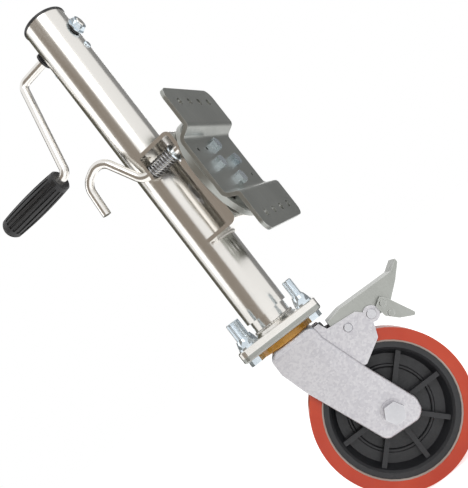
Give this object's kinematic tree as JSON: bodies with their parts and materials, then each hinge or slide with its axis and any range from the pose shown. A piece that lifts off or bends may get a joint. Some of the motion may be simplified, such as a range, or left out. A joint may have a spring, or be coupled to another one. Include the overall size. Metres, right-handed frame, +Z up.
{
  "type": "trailer tongue jack",
  "caption": "Side-wind trailer jack: a screw-driven tube leg on a swivelling bolt-on bracket with a spring pull pin, and a braked swivel caster with a soft-tread wheel",
  "frame": {"origin": "centre of the frame bolt pattern, on the outer face of the mounting plate's wings", "axes": "+X points out of the plate into the trailer frame, +Z up along the jack's tube, +Y by the right-hand rule"},
  "size_m": [0.3778, 0.1577, 0.766],
  "materials": {
    "bright_zinc": "bright zinc plate over drawn steel",
    "satin_zinc": "satin zinc plate on pressed sheet",
    "blue_zinc": "blue-white zinc on fasteners",
    "galvanised": "spangled galvanised sheet",
    "dull_steel": "plain zinc on turned steel",
    "spring_steel": "bright spring wire",
    "black_plastic": "moulded black plastic",
    "brake_black": "black moulded brake pad",
    "cast_core": "black painted casting",
    "orange_tread": "orange-red polyurethane",
    "gold_seal": "amber swivel seal"
  },
  "bodies": {
    "mount": {"mounting_plate": "satin_zinc", "lock_disc": "satin_zinc", "plate_bolts": "blue_zinc"},
    "jack": {"swivel_bracket": "bright_zinc", "pivot_rivet": "dull_steel", "outer_tube": "bright_zinc", "top_cap": "black_plastic", "crank_bushings": "black_plastic", "bearing_block": "dull_steel", "cross_pins": "blue_zinc", "pin_spring": "spring_steel"},
    "crank": {"crank_handle": "bright_zinc", "crank_washer": "blue_zinc", "crank_nut": "blue_zinc", "crank_gear": "dull_steel"},
    "grip": {"handle_grip": "black_plastic"},
    "screw": {"lead_screw": "dull_steel", "screw_gear": "dull_steel", "thrust_washer": "dull_steel"},
    "leg": {"inner_tube": "bright_zinc", "leg_nut": "dull_steel", "foot_plate": "bright_zinc", "caster_top_plate": "satin_zinc", "flange_bolts": "blue_zinc", "flange_washers": "blue_zinc", "flange_nuts": "blue_zinc", "kingpin": "dull_steel"},
    "fork": {"caster_fork": "galvanised", "swivel_seal": "gold_seal", "brake_housing": "galvanised", "housing_rivets": "dull_steel", "fork_pins": "dull_steel", "pedal_pin": "dull_steel", "brake_block": "brake_black", "axle_bolt": "dull_steel", "axle_nut": "dull_steel", "axle_washers": "galvanised", "axle_sleeve": "dull_steel"},
    "wheel": {"wheel_core": "cast_core", "wheel_tread": "orange_tread", "wheel_bearings": "dull_steel"},
    "pedal": {"brake_pedal": "satin_zinc"},
    "lever": {"release_lever": "satin_zinc"},
    "pin": {"pull_pin": "bright_zinc", "pin_washer": "blue_zinc"}
  },
  "joints": [
    {"name": "jack_swivel", "type": "hinge", "parent": "mount", "child": "jack", "pos_m": [-0.0319, 0, 0], "axis": [1, 0, 0], "range_deg": [-90, 90]},
    {"name": "crank_spin", "type": "hinge", "parent": "jack", "child": "crank", "pos_m": [-0.0969, 0, 0.266], "axis": [1, 0, 0], "range_deg": [0, 26990]},
    {"name": "screw_spin", "type": "hinge", "parent": "jack", "child": "screw", "pos_m": [-0.0969, 0, 0.2], "axis": [0, 0, 1], "range_deg": [-18000, 0]},
    {"name": "leg_slide", "type": "slide", "parent": "jack", "child": "leg", "axis": [0, 0, -1], "range_m": [0, 0.25]},
    {"name": "grip_spin", "type": "hinge", "parent": "crank", "child": "grip", "pos_m": [-0.2, -0.03882, 0.12111], "axis": [1, 0, 0], "continuous": true},
    {"name": "caster_swivel", "type": "hinge", "parent": "leg", "child": "fork", "pos_m": [-0.0969, 0, -0.221], "axis": [0, 0, 1], "continuous": true},
    {"name": "wheel_spin", "type": "hinge", "parent": "fork", "child": "wheel", "pos_m": [-0.05115, 0.01756, -0.363], "axis": [-0.3584, 0.9336, 0], "continuous": true},
    {"name": "brake_press", "type": "hinge", "parent": "fork", "child": "pedal", "pos_m": [-0.00308, 0.03602, -0.256], "axis": [-0.3584, 0.9336, 0], "range_deg": [0, 7]},
    {"name": "release_lever_tilt", "type": "hinge", "parent": "pedal", "child": "lever", "pos_m": [0.0142, 0.04265, -0.254], "axis": [-0.3584, 0.9336, 0], "range_deg": [-20, 10]},
    {"name": "pin_pull", "type": "slide", "parent": "jack", "child": "pin", "axis": [-1, 0, 0], "range_m": [0, 0.014], "stiffness_N_per_m": 1500, "springref_m": -0.008, "deforming": ["pin_spring"]}
  ],
  "couplings": [
    {"joint": "screw_spin", "follows": "crank_spin", "ratio": -0.66667},
    {"joint": "leg_slide", "follows": "crank_spin", "m_per_rad": 0.00053051}
  ]
}
